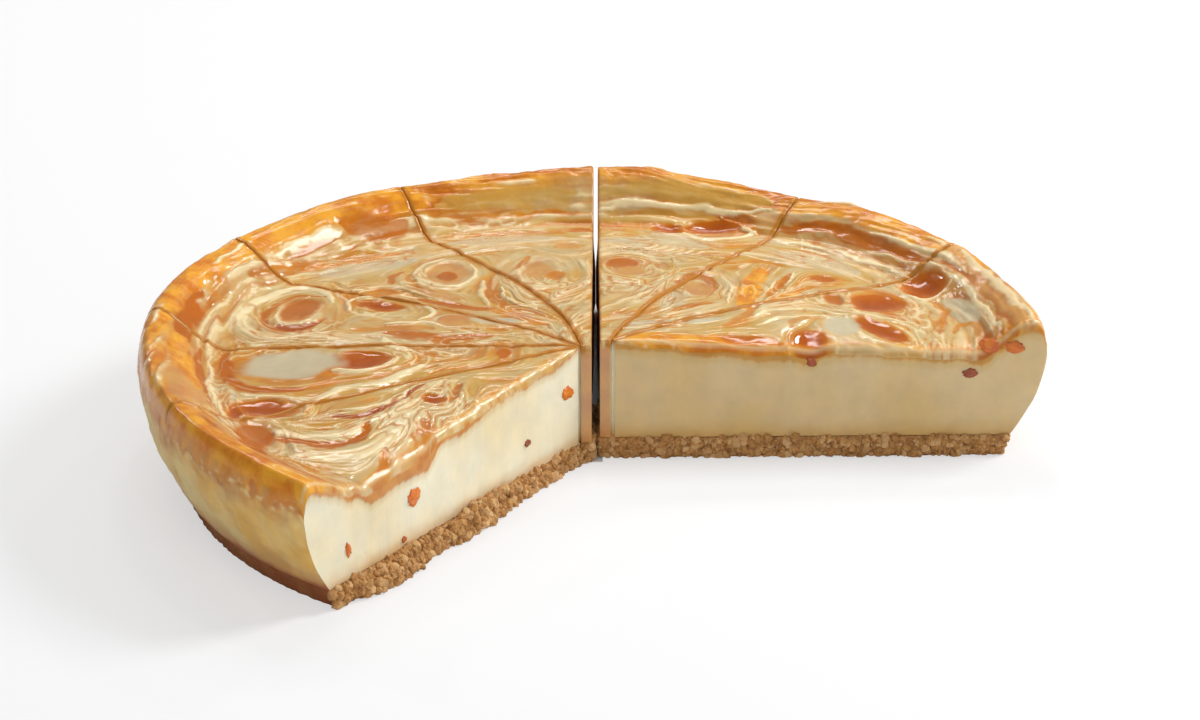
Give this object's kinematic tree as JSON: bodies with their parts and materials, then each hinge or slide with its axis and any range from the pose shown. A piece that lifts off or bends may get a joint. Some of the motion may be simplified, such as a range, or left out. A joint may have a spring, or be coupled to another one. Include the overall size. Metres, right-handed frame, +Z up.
{
  "type": "baked cheesecake",
  "caption": "Round baked swirl cheesecake on a biscuit base, with a raised browned rim, cut into wedges and partly served so that two cut faces show.",
  "frame": {"origin": "middle of the box round the remaining slices, on the surface the cake stands on", "axes": "+Z up, -Y towards the side the missing slices were served from, +X to the right as seen from there"},
  "size_m": [0.2586, 0.2342, 0.0447],
  "materials": {
    "filling": "moist baked cream cheese, with a glossy swirled top and a browned side",
    "biscuit": "dry pressed crumbs"
  },
  "bodies": {
    "root": {"filling_left_1": "filling", "filling_left_2": "filling", "filling_left_3": "filling", "filling_left_4": "filling", "filling_left_5": "filling", "filling_right_1": "filling", "filling_right_2": "filling", "filling_right_3": "filling", "biscuit_left_1": "biscuit", "biscuit_left_2": "biscuit", "biscuit_left_3": "biscuit", "biscuit_left_4": "biscuit", "biscuit_left_5": "biscuit", "biscuit_right_1": "biscuit", "biscuit_right_2": "biscuit", "biscuit_right_3": "biscuit"}
  },
  "joints": []
}
